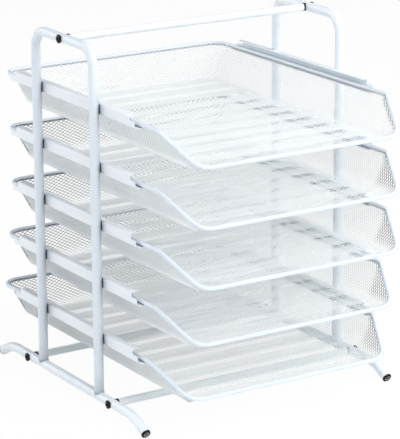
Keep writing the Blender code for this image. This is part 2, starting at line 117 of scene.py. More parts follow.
def add_node(tree: Tree, kind: str, settings: dict | None = None,
             sockets: dict | None = None) -> bpy.types.Node:
    """Add a shader node.

    Args:
        tree: Node tree that gets the node.
        kind: Type of the node.
        settings: Properties of the node, by name.
        sockets: Inputs by name or number; each is a constant or an output socket to link.

    Returns:
        The new node.
    """
    node = tree.nodes.new(kind)
    for name, value in (settings or {}).items():
        setattr(node, name, value)
    for name, value in (sockets or {}).items():
        if isinstance(value, Socket):
            tree.links.new(value, node.inputs[name])
        else:
            node.inputs[name].default_value = value
    return node


# Sockets of a node that mixes colours: its share, its two colours and its result
MIX_SHARE, MIX_FIRST, MIX_SECOND, MIX_RESULT = 0, 6, 7, 2
# Range that most values of a noise pattern lie in
NOISE_LOW, NOISE_HIGH = 0.3, 0.7
# Rays that look for near surfaces from each point of a hollow
HOLLOW_RAYS = 10


@dataclass(frozen=True)
class Hollow:
    """Painted shade that a finish takes on where other surfaces are near.

    The shade is full where the open share of the surroundings is at its dark value or below, and
    gone at the clear value. With a mask, only points with that attribute of the mesh take it on. A
    covered hollow counts only what is above the point.
    """

    shade: str
    reach_mm: float
    dark: float
    clear: float
    mask: str = ""
    covered: bool = False

    def over(self, tree: Tree, colour: Socket) -> Socket:
        """Lay the shade over a colour.

        Args:
            tree: Node tree of the material.
            colour: Colour of the open surface.

        Returns:
            The colour with the shade in the hollows.
        """
        sockets = {"Distance": self.reach_mm * MM}
        if self.covered:
            upwards = add_node(tree, "ShaderNodeCombineXYZ", None, {"Z": 1.0})
            sockets["Normal"] = upwards.outputs["Vector"]
        near = add_node(tree, "ShaderNodeAmbientOcclusion", {"samples": HOLLOW_RAYS}, sockets)
        share = add_node(tree, "ShaderNodeMapRange", None, {
            "Value": near.outputs["AO"], "From Min": self.dark, "From Max": self.clear,
            "To Min": 1.0, "To Max": 0.0}).outputs["Result"]
        if self.mask:
            mask = add_node(tree, "ShaderNodeAttribute", {"attribute_name": self.mask})
            share = add_node(tree, "ShaderNodeMath", {"operation": "MULTIPLY"},
                             {0: share, 1: mask.outputs["Fac"]}).outputs[0]
        return add_node(tree, "ShaderNodeMix", {"data_type": "RGBA"}, {
            MIX_SHARE: share, MIX_FIRST: colour,
            MIX_SECOND: linear_colour(self.shade)}).outputs[MIX_RESULT]


@dataclass(frozen=True)
class Finish:
    """A coated or moulded surface with faint patches of shade and a fine relief.

    The relief is drawn from its real size in millimetres, on Object coordinates. Its hollows are
    darkened with painted shade where other surfaces are near.
    """

    name: str
    slot: str
    colour: str
    shade: str
    patch_mm: float
    grain_mm: float
    grain_depth_mm: float
    roughness: float
    roughness_spread: float
    metallic: float = 0.0
    ior: float = 1.5
    patch_detail: float = 3.0
    grain_detail: float = 2.0
    hollows: tuple[Hollow, ...] = ()

    def material(self) -> bpy.types.Material:
        """Build the material, or give the one that was built before.

        Returns:
            The procedural material of this finish.
        """
        known = bpy.data.materials.get(self.name)
        if known:
            return known
        made = bpy.data.materials.new(self.name)
        made.use_nodes = True
        tree = made.node_tree
        place = add_node(tree, "ShaderNodeTexCoord").outputs["Object"]
        patches, grain = (
            add_node(tree, "ShaderNodeTexNoise", None, {
                "Vector": place, "Scale": 1 / (size * MM), "Detail": detail}).outputs["Fac"]
            for size, detail in ((self.patch_mm, self.patch_detail),
                                 (self.grain_mm, self.grain_detail)))
        colour = add_node(tree, "ShaderNodeMix", {"data_type": "RGBA"}, {
            MIX_SHARE: patches, MIX_FIRST: linear_colour(self.colour),
            MIX_SECOND: linear_colour(self.shade)}).outputs[MIX_RESULT]
        for hollow in self.hollows:
            colour = hollow.over(tree, colour)
        gloss = add_node(tree, "ShaderNodeMapRange", None, {
            "Value": grain, "From Min": NOISE_LOW, "From Max": NOISE_HIGH,
            "To Min": self.roughness - self.roughness_spread,
            "To Max": self.roughness + self.roughness_spread}).outputs["Result"]
        relief = add_node(tree, "ShaderNodeBump", None, {
            "Height": grain, "Strength": 1.0,
            "Distance": self.grain_depth_mm * MM}).outputs["Normal"]
        shader = tree.nodes["Principled BSDF"].inputs
        for name, output in (("Base Color", colour), ("Roughness", gloss), ("Normal", relief)):
            tree.links.new(output, shader[name])
        shader["Metallic"].default_value = self.metallic
        shader["IOR"].default_value = self.ior
        return made

    def dress(self, piece: Piece) -> None:
        """Give a piece this finish as its only material.

        Args:
            piece: Piece that is dressed.
        """
        piece.data.materials.clear()
        piece.data.materials.append(self.material())


# Attribute of the mesh strands that get painted shade: the walls under another tray, the top tray's
# left wall and the lowest tray's floor
SHADED_WALLS = "shaded_walls"
# Attribute of the mesh strands that are welded under the rim's wire, which get painted shade along
# it
WIRE_EDGES = "wire_edges"
# Attribute of the wire that gets painted shade: the rear of a rim under another tray, and the right
# front slant
SHADED_WIRE = "shaded_wire"

# Baked white powder coat on tube: satin, with the low waves of orange peel; a little darker than
# its lit copy, with painted shade in the joints and painted shade where the trays shade the left
# posts
TUBE_COAT = Finish("white_powder_coat_on_tube", "white_powder_coat", "#E5ECF4", "#DEE6EE",
                   patch_mm=60, grain_mm=1.6, grain_depth_mm=0.02,
                   roughness=0.36, roughness_spread=0.05,
                   hollows=(Hollow("#707D88", 45, 0.36, 0.97), Hollow("#57626C", 2, 0.3, 0.62)))
# The same on the right posts and the feet, which stand open to the light: a lighter colour as
# painted light, and painted shade only in the joints
LIT_TUBE_COAT = replace(TUBE_COAT, name="white_powder_coat_on_open_tube", colour="#EDF3F9",
                         shade="#E6EDF4", hollows=TUBE_COAT.hollows[1:])
# The same coat on the crossbars' rod: a little warmer
ROD_COAT = Finish("white_powder_coat_on_rod", "white_powder_coat", "#EDF3F5", "#E6EDEF",
                  patch_mm=60, grain_mm=1.6, grain_depth_mm=0.02,
                  roughness=0.38, roughness_spread=0.05)
# Weld bead, which shows grey through the thin coat on its ripples, and whose grey is also painted
# shade for the crevice where a post meets its foot tube
WELD_COAT = Finish("thin_powder_coat_on_weld", "white_powder_coat", "#A7AFB6", "#8F989F",
                   patch_mm=3, grain_mm=0.5, grain_depth_mm=0.04,
                   roughness=0.5, roughness_spread=0.08)
# The same coat on thin sheet, which is a little smoother, with painted shade in the folds
SHEET_COAT = Finish("white_powder_coat_on_sheet", "white_coated_sheet", "#EEF2F7", "#E7ECF2",
                    patch_mm=50, grain_mm=1.4, grain_depth_mm=0.015,
                    roughness=0.38, roughness_spread=0.05,
                    hollows=(Hollow("#4A545E", 2.4, 0.22, 0.48),))
# The same in the right rails' channels, lighter and bluer as painted light where they stand open to
# the light from the left, with no painted shade in the folds
RIGHT_SHEET_COAT = replace(SHEET_COAT, name="white_powder_coat_on_right_sheet", colour="#EFF7FC",
                           shade="#E9F2F8", hollows=())
# The same coat on wire, where it draws itself smooth, with painted shade along the mesh that is in
# shade
WIRE_COAT = Finish("white_powder_coat_on_wire", "white_coated_wire", "#E0E8F1", "#D9E2EC",
                   patch_mm=40, grain_mm=1.6, grain_depth_mm=0.012,
                   roughness=0.34, roughness_spread=0.04,
                   hollows=(Hollow("#444E58", 3.5, 0.5, 0.9, SHADED_WIRE),))
# The same coat on the cut strands of expanded mesh, where it is thin and dull, with painted shade
# under the tray above and along the wire
MESH_COAT = Finish("white_powder_coat_on_mesh", "white_coated_mesh", "#F8FBFC", "#EFF3F5",
                   patch_mm=22, grain_mm=0.9, grain_depth_mm=0.02,
                   roughness=0.5, roughness_spread=0.06,
                   hollows=(Hollow("#596166", 75, 0.35, 1.0, SHADED_WALLS, covered=True),
                            Hollow("#39434B", 5, 0.55, 0.95, WIRE_EDGES)))
# Moulded black plastic with a fine spark-eroded texture, drawn coarser than it is so that it shows
BLACK_PLASTIC = Finish("moulded_black_plastic", "black_plastic", "#17181A", "#101113",
                       patch_mm=6, grain_mm=0.35, grain_depth_mm=0.02,
                       roughness=0.45, roughness_spread=0.08)
# Steel with a polished black lacquer: dark with a small bright gleam
BLACK_LACQUER = Finish("black_lacquered_steel", "blackened_steel", "#121214", "#0C0C0E",
                       patch_mm=4, grain_mm=0.5, grain_depth_mm=0.004,
                       roughness=0.2, roughness_spread=0.04, ior=1.28)
# Moulded black rubber from a polished mould: shiny, with the drag marks of the mould
BLACK_RUBBER = Finish("polished_black_rubber", "black_rubber", "#141415", "#0D0D0F",
                      patch_mm=5, grain_mm=0.6, grain_depth_mm=0.006,
                      roughness=0.24, roughness_spread=0.05, ior=1.3)
# Light steel ring in a plug's face, bright where it faces the light: a painted reflection of the
# bright ring in the plug's dish, with a real metal sheen as well
RING_STEEL = Finish("rolled_bright_steel", "blackened_steel", "#C4C9CD", "#A9AFB4",
                    patch_mm=2, grain_mm=0.4, grain_depth_mm=0.006,
                    roughness=0.32, roughness_spread=0.06, metallic=0.5)


def activate(piece: Piece) -> None:
    """Make one object the only selected one and the active one.

    Args:
        piece: Object to select.
    """
    bpy.ops.object.select_all(action="DESELECT")
    piece.select_set(True)
    bpy.context.view_layer.objects.active = piece


def new_piece(name: str, operator: Callable, **settings: object) -> Piece:
    """Add a primitive whose place and turn are in its mesh.

    Args:
        name: Name of the new object.
        operator: Operator that adds the primitive.
        settings: Settings of the operator.

    Returns:
        The new object, at the origin and unturned.
    """
    bpy.ops.object.select_all(action="DESELECT")
    operator(**settings)
    piece = bpy.context.object
    piece.name = name
    piece.data.name = name
    bpy.ops.object.transform_apply(location=True, rotation=True, scale=True)
    return piece


@contextmanager
def editing(piece: Piece, pick: Pick) -> Iterator[None]:
    """Edit a piece's mesh, with all of it selected at the start.

    Args:
        piece: Object to edit.
        pick: What selections are made of.
    """
    activate(piece)
    bpy.ops.object.mode_set(mode="EDIT")
    bpy.ops.mesh.select_mode(type=pick.value)
    bpy.ops.mesh.select_all(action="SELECT")
    yield
    bpy.ops.object.mode_set(mode="OBJECT")


def select_where(piece: Piece, pick: Pick, test: Callable[[object, Vector], bool]) -> None:
    """Select the edges or faces that pass a test, and nothing else.

    Args:
        piece: Object in edit mode.
        pick: Whether edges or faces are tested.
        test: Test of the element and its middle.
    """
    bpy.ops.mesh.select_mode(type=pick.value)
    bpy.ops.mesh.select_all(action="DESELECT")
    shape = bmesh.from_edit_mesh(piece.data)
    elements = shape.edges if pick is Pick.EDGES else shape.faces
    for element in elements:
        middle = sum((corner.co for corner in element.verts), Vector()) / len(element.verts)
        if test(element, middle):
            element.select_set(True)
    bmesh.update_edit_mesh(piece.data, loop_triangles=False, destructive=False)


def select_facing(piece: Piece, heading: int) -> None:
    """Select the faces in edit mode that look up, for a heading of 1, or down, for -1."""
    steep = 0.9
    select_where(piece, Pick.FACES, lambda face, middle: face.normal.z * heading > steep)


def extrude_up(height: float, width: float | None = None) -> None:
    """Extrude the selected faces up, and narrow them to a share of their width if it is given."""
    bpy.ops.mesh.extrude_region_move(TRANSFORM_OT_translate={"value": (0, 0, height)})
    if width:
        bpy.ops.transform.resize(value=(width, width, 1))


def apply_modifier(piece: Piece, kind: str, **settings: object) -> None:
    """Add a modifier to a piece and apply it.

    Args:
        piece: Object that gets the modifier.
        kind: Type of the modifier.
        settings: Properties of the modifier.
    """
    activate(piece)
    modifier = piece.modifiers.new(kind.lower(), kind)
    for name, value in settings.items():
        setattr(modifier, name, value)
    bpy.ops.object.modifier_apply(modifier=modifier.name)


def face_outwards(piece: Piece) -> None:
    """Merge doubled corners and turn every face outwards.

    Args:
        piece: Piece whose faces are turned.
    """
    with editing(piece, Pick.FACES):
        bpy.ops.mesh.remove_doubles(threshold=2 * TINY)
        bpy.ops.mesh.select_all(action="SELECT")
        bpy.ops.mesh.normals_make_consistent(inside=False)


def smooth(piece: Piece, shading: Shading = Shading.EDGED) -> None:
    """Shade a piece smooth, with sharp edges where faces meet at more than an angle."""
    activate(piece)
    bpy.ops.object.shade_smooth_by_angle(angle=math.radians(shading.value))


def copied(piece: Piece, name: str, place: Matrix) -> Piece:
    """Copy a piece with a mesh of its own.

    Args:
        piece: Object to copy.
        name: Name of the copy.
        place: Where the copy's mesh goes.

    Returns:
        The copy, at the origin and unturned.
    """
    twin = bpy.data.objects.new(name, piece.data.copy())
    twin.data.name = name
    twin.data.transform(place)
    if place.determinant() < 0:
        twin.data.flip_normals()
    bpy.context.scene.collection.objects.link(twin)
    return twin


def discard(*pieces: Piece) -> None:
    """Remove pieces that were only patterns for copies."""
    for piece in pieces:
        bpy.data.objects.remove(piece)


def cut_out(piece: Piece, cutter: Piece) -> None:
    """Cut a shape out of a piece, and remove what cut it."""
    apply_modifier(piece, "BOOLEAN", operation="DIFFERENCE", solver="EXACT", object=cutter)
    discard(cutter)


def corners_of(piece: Piece) -> np.ndarray:
    """Give the corner points of a piece.

    Args:
        piece: Piece to read.

    Returns:
        One row of three values for each point.
    """
    values = np.empty(len(piece.data.vertices) * 3, np.float32)
    piece.data.vertices.foreach_get("co", values)
    return values.reshape(-1, 3).astype(float)


def set_corners(piece: Piece, points: np.ndarray) -> None:
    """Move a piece's corner points."""
    piece.data.vertices.foreach_set("co", points.astype(np.float32).ravel())
    piece.data.update()


def marks_of(piece: Piece, name: str) -> np.ndarray:
    """Give an attribute of the corner points of a piece.

    Args:
        piece: Piece to read.
        name: Name of the attribute.

    Returns:
        One value for each point.
    """
    values = np.empty(len(piece.data.vertices), np.float32)
    piece.data.attributes[name].data.foreach_get("value", values)
    return values


def set_marks(piece: Piece, name: str, values: np.ndarray) -> None:
    """Set an attribute of a piece's corner points, which is added if it is new."""
    known = piece.data.attributes
    mark = known.get(name) or known.new(name, "FLOAT", "POINT")
    mark.data.foreach_set("value", values.astype(np.float32))


def trim(piece: Piece, zone: Callable[[Vector], bool], point: Vector, normal: Vector,
         remove: bool = True) -> None:
    """Cut the faces of a zone along a plane, in edit mode.

    Args:
        piece: Object in edit mode.
        zone: Test of a face's middle.
        point: Point on the plane.
        normal: Normal of the plane, on the side to be removed.
        remove: Whether that side is removed.
    """
    select_where(piece, Pick.FACES, lambda face, middle: zone(middle))
    bpy.ops.mesh.bisect(plane_co=point, plane_no=normal, clear_outer=remove)


def fit(piece: Piece, body: str, node: str, finish: Finish) -> None:
    """Finish a piece and put it on the organizer in place of a CAD node.

    Args:
        piece: Finished piece, in place.
        body: CAD body that the piece moves with.
        node: CAD node that the piece stands for.
        finish: Finish that the piece gets.
    """
    finish.dress(piece)
    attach(piece, body)
    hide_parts(node)
    LOG.info("%s stands for %s on %s: %d faces", piece.name, node, body, len(piece.data.polygons))


class BentTube:
    """A round tube or wire: a ring, extruded along straights and spun round bends."""

    STEP = math.radians(6)

    def __init__(self, name: str, start: Vector, heading: Vector, radius: float,
                 sides: int) -> None:
        """Start with a ring.

        Args:
            name: Name of the piece.
            start: Middle of the first ring.
            heading: Direction in which the tube runs from there.
            radius: Outer radius.
            sides: Corners of the ring.
        """
        turn = heading.to_track_quat("Z", "Y").to_euler()
        self.piece = new_piece(name, bpy.ops.mesh.primitive_circle_add, vertices=sides,
                               radius=radius, location=start, rotation=turn)
        self.tip = start.copy()

    def follow(self, corners: list[tuple[Vector, float]]) -> Piece:
        """Draw the tube along a path.

        Args:
            corners: Corner points with their bend radii; the last one is the end.

        Returns:
            The open tube.
        """
        with editing(self.piece, Pick.EDGES):
            for index, (corner, radius) in enumerate(corners):
                if index == len(corners) - 1:
                    self._straight(corner)
                    break
                back = (self.tip - corner).normalized()
                ahead = (corners[index + 1][0] - corner).normalized()
                turn = math.pi - back.angle(ahead)
                tangent = radius * math.tan(turn / 2)
                self._straight(corner + back * tangent)
                centre = corner + (back + ahead).normalized() * radius / math.cos(turn / 2)
                bpy.ops.mesh.spin(steps=max(2, math.ceil(turn / self.STEP)), angle=-turn,
                                  center=centre, axis=ahead.cross(back).normalized())
                self.tip = corner + ahead * tangent
        return self.piece

    def _straight(self, end: Vector) -> None:
        """Draw the tube straight on to a point."""
        bpy.ops.mesh.extrude_edges_move(TRANSFORM_OT_translate={"value": end - self.tip})
        self.tip = end.copy()


def mirrored_tube(piece: Piece, axis: int, wall: float | None) -> Piece:
    """Complete a half tube by its mirror image.

    Args:
        piece: Half tube that starts on the mirror plane.
        axis: 0 to mirror in X, 1 in Y.
        wall: Thickness of the tube's wall, or None for a solid wire.

    Returns:
        The whole tube, facing outwards.
    """
    apply_modifier(piece, "MIRROR", use_axis=[axis == 0, axis == 1, False],
                   merge_threshold=10 * TINY)
    face_outwards(piece)
    if wall:
        apply_modifier(piece, "SOLIDIFY", thickness=wall, offset=-1.0, use_even_offset=True)
    smooth(piece)
    return piece


@dataclass
class TubeFrame:
    """The two side frames on their foot tubes, with the plugs that stand on the desk."""

    post_spacing: float = 118 * MM
    tube_radius: float = 4.98 * MM
    tube_wall: float = 1 * MM
    top_bend: float = 20 * MM
    foot_straight: float = 228 * MM
    foot_bend: float = 60 * MM
    foot_angle: float = math.radians(27)
    foot_end: float = 10.35 * MM
    plug_radius: float = 5 * MM
    plug_edge: float = 0.9 * MM
    plug_dome: float = 1.7 * MM
    plug_gap: float = 0.3 * MM
    # Width and rise of each step of a plug's round edge, the rise as a share of a third of its dome
    plug_steps: tuple[tuple[float, float], ...] = ((0.93, 0.9), (0.86, 0.6), (0.86, 0.25))
    # Inset, rise and width of the dish in a plug's face, and of the boss in the dish
    dish: tuple[float, float, float] = (0.5 * MM, -1.1 * MM, 0.86)
    boss: tuple[float, float, float] = (1.0 * MM, 0.6 * MM, 0.8)
    spigot_inset: float = 1.8 * MM
    spigot_length: float = 8 * MM
    # Painted reflection: the light ring in a plug's dish, with its radius, wire, height and
    # flatness
    ring_radius: float = 2.3 * MM
    ring_wire: float = 0.45 * MM
    ring_height: float = 1.6 * MM
    ring_flatness: float = 0.7
    weld_radius: float = 0.5 * MM
    weld_height: float = 4.1 * MM
    weld_ripples: int = 22
    ripple_depth: float = 0.15
    sides: int = 32
    middle_y: float = field(init=False)
    half_width: float = field(init=False)
    top: float = field(init=False)
    foot: float = field(init=False)

    def __post_init__(self) -> None:
        """Take the frame's place from the CAD nodes."""
        low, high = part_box("right_side_frame")
        self.middle_y = (low.y + high.y) / 2
        self.half_width = (low.x + high.x) / 2
        self.top = sum(corner.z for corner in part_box("top_crossbar")) / 2
        self.foot = sum(corner.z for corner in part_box("front_crossbar")) / 2

    @property
    def foot_drop(self) -> float:
        """How far the axis of a foot tube's end is below the axis of its middle."""
        return (self.foot_bend * (1 - math.cos(self.foot_angle))
                + self.foot_end * math.sin(self.foot_angle))

    @property
    def foot_reach(self) -> float:
        """How far a foot tube's end is from the middle of the frame."""
        return (self.foot_straight / 2 + self.foot_bend * math.sin(self.foot_angle)
                + self.foot_end * math.cos(self.foot_angle))

    def place(self, side: Side) -> Matrix:
        """Where a side's pieces go."""
        return Matrix.Translation((side.value * self.half_width, self.middle_y, 0))

    def build(self) -> None:
        """Model and fit every piece of the frame's two sides."""
        arch = self.arch()
        foot = self.foot_tube()
        welds = self.welds()
        for side in Side:
            node = f"{side.label}_side_frame"
            # Painted light and shade: the left frame gets the darker, shaded coat and the right
            # frame the lighter one
            coat = LIT_TUBE_COAT if side is Side.RIGHT else TUBE_COAT
            fit(copied(arch, f"{node}_tube", self.place(side)), "frame", node, coat)
            fit(copied(welds, f"{node}_welds", self.place(side)), "frame", node, WELD_COAT)
            node = f"{side.label}_foot_tube"
            fit(copied(foot, f"{node}_bent", self.place(side)), "frame", node, LIT_TUBE_COAT)
            for end in End:
                node = f"{side.label}_{end.label}_foot_plug"
                fit(self.plug(f"{node}_cap", side, end), "frame", node, BLACK_RUBBER)
                fit(self.plug_ring(f"{node}_ring", side, end), "frame", node, RING_STEEL)
        discard(arch, foot, welds)

    def arch(self) -> Piece:
        """Model a side frame: an inverted U of tube.

        Returns:
            The side frame, about the middle of its side.
        """
        half = self.post_spacing / 2
        tube = BentTube("arch", Vector((0, 0, self.top)), Vector((0, -1, 0)), self.tube_radius,
                        self.sides)
        front = tube.follow([(Vector((0, -half, self.top)), self.top_bend),
                             (Vector((0, -half, self.foot)), 0.0)])
        return mirrored_tube(front, 1, self.tube_wall)

    def welds(self) -> Piece:
        """Model the rippled beads round a side's posts, which the foot tube mostly hides.

        Returns:
            The two beads, about the middle of their side.
        """
        bead = new_piece("weld", bpy.ops.mesh.primitive_torus_add, major_segments=132,
                         minor_segments=8, major_radius=self.tube_radius,
                         minor_radius=self.weld_radius)
        points = corners_of(bead)
        angle = np.arctan2(points[:, 1], points[:, 0])
        ring = np.column_stack([np.cos(angle), np.sin(angle), np.zeros(len(angle))])
        spine = self.tube_radius * ring
        ripple = 1 + self.ripple_depth * np.sin(self.weld_ripples * angle)
        set_corners(bead, spine + (points - spine) * ripple[:, None])
        smooth(bead)
        half = Vector((0, self.post_spacing / 2, 0))
        height = Vector((0, 0, self.foot + self.weld_height))
        twin = copied(bead, "weld_twin", Matrix.Translation(height - half))
        bead.data.transform(Matrix.Translation(height + half))
        activate(bead)
        twin.select_set(True)
        bpy.ops.object.join()
        return bead

    def foot_tube(self) -> Piece:
        """Model a foot tube, both ends bent down.

        Returns:
            The foot tube, about the middle of its side.
        """
        bend_y = self.foot_straight / 2 + self.foot_bend * math.tan(self.foot_angle / 2)
        tube = BentTube("foot", Vector((0, 0, self.foot)), Vector((0, -1, 0)), self.tube_radius,
                        self.sides)
        front = tube.follow([(Vector((0, -bend_y, self.foot)), self.foot_bend),
                             (Vector((0, -self.foot_reach, self.foot - self.foot_drop)), 0.0)])
        return mirrored_tube(front, 1, self.tube_wall)

    def plug_place(self, side: Side, end: End) -> Matrix:
        """Give the place of a plug that is modelled at the origin with its face at +Z.

        Args:
            side: Side of the foot tube.
            end: End of the foot tube.

        Returns:
            The place and turn of the tube's end.
        """
        turn = Matrix.Rotation(math.pi / 2 + self.foot_angle, 4, "X")
        if end is End.REAR:
            turn = Matrix.Rotation(math.pi, 4, "Z") @ turn
        tip = Matrix.Translation((0, end.value * self.foot_reach, self.foot - self.foot_drop))
        return self.place(side) @ tip @ turn

    def plug_ring(self, name: str, side: Side, end: End) -> Piece:
        """Model the steel ring that shows in a plug's dish, a painted reflection there.

        Args:
            name: Name of the piece.
            side: Side of the foot tube.
            end: End of the foot tube.

        Returns:
            The ring, a little flattened.
        """
        ring = new_piece(name, bpy.ops.mesh.primitive_torus_add, major_segments=40,
                         minor_segments=10, major_radius=self.ring_radius,
                         minor_radius=self.ring_wire)
        with editing(ring, Pick.FACES):
            bpy.ops.transform.resize(value=(1, 1, self.ring_flatness))
        height = Matrix.Translation((0, 0, self.ring_height))
        ring.data.transform(self.plug_place(side, end) @ height)
        smooth(ring)
        return ring

    def plug(self, name: str, side: Side, end: End) -> Piece:
        """Model the plug in a foot tube's end: a round-edged cap with a boss in its dished face.

        Args:
            name: Name of the piece.
            side: Side of the foot tube.
            end: End of the foot tube.

        Returns:
            The plug, cut flat where it meets the desk.
        """
        plug = new_piece(name, bpy.ops.mesh.primitive_cylinder_add, vertices=40,
                         radius=self.plug_radius, depth=self.plug_edge,
                         location=(0, 0, self.plug_edge / 2 + self.plug_gap))
        with editing(plug, Pick.FACES):
            select_facing(plug, 1)
            for width, rise in self.plug_steps:
                extrude_up(self.plug_dome / 3 * rise, width)
            for inset, rise, width in (self.dish, self.boss):
                bpy.ops.mesh.inset(thickness=inset, depth=0)
                extrude_up(rise, width)
            select_facing(plug, -1)
            bpy.ops.mesh.inset(thickness=self.spigot_inset, depth=0)
            extrude_up(-self.spigot_length)
        plug.data.transform(self.plug_place(side, end))
        with editing(plug, Pick.FACES):
            bpy.ops.mesh.bisect(plane_co=(0, 0, 0), plane_no=(0, 0, 1), use_fill=True,
                                clear_inner=True, threshold=TINY)
        smooth(plug, Shading.DOMED)
        return plug


@dataclass
class CrossbarSet:
    """The three crossbars with their saddle collars and screws."""

    tube: TubeFrame
    bar_radius: float = 4 * MM
    bar_edge: float = 0.5 * MM
    from_post: float = 27 * MM
    collar_radius: float = 4.2 * MM
    collar_length: float = 1.2 * MM
    collar_edge: float = 0.2 * MM
    head_radius: float = 4.5 * MM
    head_edge: float = 0.7 * MM
    head_dome: float = 1.5 * MM
    dome_rings: int = 6
    shank_inset: float = 2.5 * MM
    shank_length: float = 20 * MM
    socket_radius: float = 1.5 * MM
    socket_depth: float = 1.3 * MM
    gap: float = 0.3 * MM

    def places(self) -> dict[str, Vector]:
        """Give the places of the crossbars.

        Returns:
            Middle of each crossbar, by its name.
        """
        frame_y = self.tube.middle_y
        low_y = self.tube.post_spacing / 2 + self.from_post
        return {"top": Vector((0, frame_y, self.tube.top)),
                "front": Vector((0, frame_y - low_y, self.tube.foot)),
                "rear": Vector((0, frame_y + low_y, self.tube.foot))}

    def build(self) -> None:
        """Model and fit the bars, collars and screws."""
        bar = self.bar()
        collar = self.collar()
        screw = self.screw()
        for name, middle in self.places().items():
            node = f"{name}_crossbar"
            fit(copied(bar, f"{node}_rod", Matrix.Translation(middle)), "frame", node, ROD_COAT)
            for side in Side:
                turn = Matrix.Rotation(0 if side is Side.LEFT else math.pi, 4, "Z")
                post = middle + Vector((side.value * self.tube.half_width, 0, 0))
                place = Matrix.Translation(post) @ turn
                node = f"{side.label}_{name}_collar"
                fit(copied(collar, f"{node}_saddle", place), "frame", node, BLACK_PLASTIC)
                node = f"{side.label}_{name}_screw"
                fit(copied(screw, f"{node}_button", place), "frame", node, BLACK_LACQUER)
        discard(bar, collar, screw)

    def bar(self) -> Piece:
        """Model a crossbar with broken end edges, along X.

        Returns:
            The bar, with its middle at the origin.
        """
        length = 2 * (self.tube.half_width - self.tube.tube_radius - self.collar_length - self.gap)
        bar = new_piece("bar", bpy.ops.mesh.primitive_cylinder_add, vertices=32,
                        radius=self.bar_radius, depth=length, rotation=(0, math.pi / 2, 0))
        with editing(bar, Pick.EDGES):
            select_where(bar, Pick.EDGES, lambda edge, middle:
                         len({corner.co.x > 0 for corner in edge.verts}) == 1)
            bpy.ops.mesh.bevel(offset=self.bar_edge, segments=2, affect="EDGES")
        smooth(bar)
        return bar

    def collar(self) -> Piece:
        """Model the collar of the left tube, hollowed to sit on it, with its bar at +X.

        Returns:
            The collar, with the tube's axis at the origin.
        """
        end = self.tube.tube_radius + self.collar_length
        collar = new_piece("collar", bpy.ops.mesh.primitive_cylinder_add, vertices=40,
                           radius=self.collar_radius, depth=end, location=(end / 2, 0, 0),
                           rotation=(0, math.pi / 2, 0))
        with editing(collar, Pick.EDGES):
            select_where(collar, Pick.EDGES, lambda edge, middle:
                         all(corner.co.x > end / 2 for corner in edge.verts))
            bpy.ops.mesh.bevel(offset=self.collar_edge, segments=2, affect="EDGES")
        cut_out(collar, new_piece("saddle", bpy.ops.mesh.primitive_cylinder_add, vertices=64,
                                  radius=self.tube.tube_radius + self.gap / 3, depth=4 * end,
                                  rotation=(math.pi / 2, 0, 0)))
        smooth(collar)
        return collar

    def screw(self) -> Piece:
        """Model the button-head screw of the left tube, with a hexagon socket, its head at -X.

        Returns:
            The screw, with the tube's axis at the origin.
        """
        seat = self.tube.tube_radius + self.gap / 2
        screw = new_piece("screw", bpy.ops.mesh.primitive_cylinder_add, vertices=48,
                          radius=self.head_radius, depth=self.head_edge,
                          location=(0, 0, seat + self.head_edge / 2))
        with editing(screw, Pick.FACES):
            select_facing(screw, 1)
            for ring in range(1, self.dome_rings):
                low, high = (math.pi / 2 * step / self.dome_rings for step in (ring - 1, ring))
                extrude_up(self.head_dome * (math.sin(high) - math.sin(low)),
                           math.cos(high) / math.cos(low))
            select_facing(screw, -1)
            bpy.ops.mesh.inset(thickness=self.shank_inset, depth=0)
            extrude_up(-self.shank_length)
        top = seat + self.head_edge + self.head_dome
        cut_out(screw, new_piece("key", bpy.ops.mesh.primitive_cylinder_add, vertices=6,
                                 radius=self.socket_radius, depth=2 * self.socket_depth,
                                 location=(0, 0, top)))
        screw.data.transform(Matrix.Rotation(-math.pi / 2, 4, "Y"))
        smooth(screw)
        return screw


